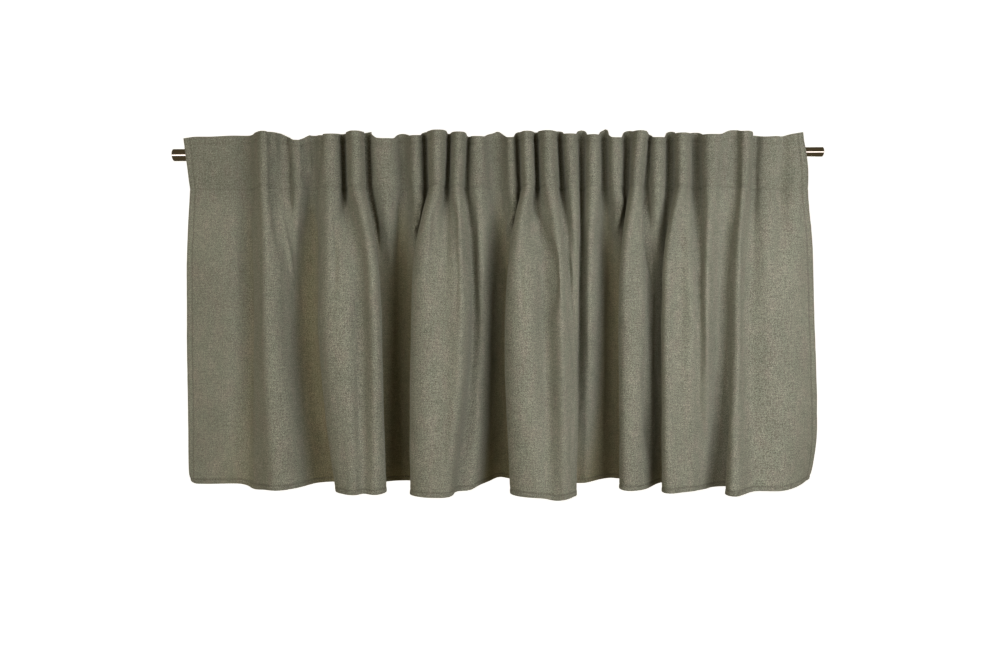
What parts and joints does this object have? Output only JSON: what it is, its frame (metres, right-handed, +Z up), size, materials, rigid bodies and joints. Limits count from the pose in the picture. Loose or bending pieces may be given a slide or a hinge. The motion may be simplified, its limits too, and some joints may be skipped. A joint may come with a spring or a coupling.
{
  "type": "window valance with telescopic curtain rod",
  "caption": "Gathered linen-look window valance hanging in deep uneven folds from strap loops on a plain telescopic rod.",
  "frame": {"origin": "on the rod's axis at the valance's mid-width", "axes": "+X along the rod, to the right seen from the room; +Y towards the window; +Z up"},
  "size_m": [1.038, 0.1469, 0.566],
  "materials": {
    "linen_cloth": "matt plain-weave linen-look cloth, grey green to khaki, fine streaked threads",
    "strap_cloth": "narrow strap of the same matt cloth, folded and stitched",
    "dark_steel": "smooth dark bronze steel tube with a bright narrow highlight"
  },
  "bodies": {
    "root": {"valance_cloth": "linen_cloth", "hanging_loop_01": "strap_cloth", "hanging_loop_02": "strap_cloth", "hanging_loop_03": "strap_cloth", "hanging_loop_04": "strap_cloth", "hanging_loop_05": "strap_cloth", "hanging_loop_06": "strap_cloth", "hanging_loop_07": "strap_cloth", "hanging_loop_08": "strap_cloth", "hanging_loop_09": "strap_cloth", "hanging_loop_10": "strap_cloth", "hanging_loop_11": "strap_cloth", "hanging_loop_12": "strap_cloth", "rod_outer_tube": "dark_steel", "rod_inner_tube": "dark_steel"}
  },
  "joints": []
}
